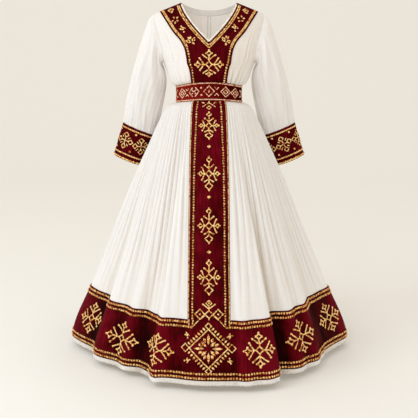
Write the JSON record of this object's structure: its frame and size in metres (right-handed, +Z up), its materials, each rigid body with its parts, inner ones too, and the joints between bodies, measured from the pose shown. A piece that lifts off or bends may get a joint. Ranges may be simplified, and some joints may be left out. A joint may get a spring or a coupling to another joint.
{
  "type": "habesha kemis dress",
  "caption": "Long-sleeved white cotton dress with a V neck, gathered full skirt, and burgundy bands worked with gold crosses at neck, belt, front, cuffs and hem.",
  "frame": {"origin": "on the wearer's shoulders: level with the neck ends of the shoulder seams, midway between them", "axes": "+Z up along the dress, -Y out of the centre front, +X to the right of someone who faces the front"},
  "size_m": [1.1516, 1.0167, 1.3817],
  "materials": {
    "white_cotton": "matt hand-woven white cotton with a soft sheen",
    "burgundy_band": "matt woven burgundy band with raised gold thread"
  },
  "bodies": {
    "root": {"bodice_front": "white_cotton", "bodice_back_left": "white_cotton", "bodice_back_right": "white_cotton", "back_neck_facing": "white_cotton", "sleeve_left": "white_cotton", "sleeve_right": "white_cotton", "skirt_front_left": "white_cotton", "skirt_front_right": "white_cotton", "skirt_back_left": "white_cotton", "skirt_back_right": "white_cotton", "neck_panel": "burgundy_band", "belt": "burgundy_band", "centre_stripe": "burgundy_band", "hem_band_front": "burgundy_band", "hem_band_back_left": "burgundy_band", "hem_band_back_right": "burgundy_band", "cuff_left": "burgundy_band", "cuff_right": "burgundy_band"}
  },
  "joints": []
}
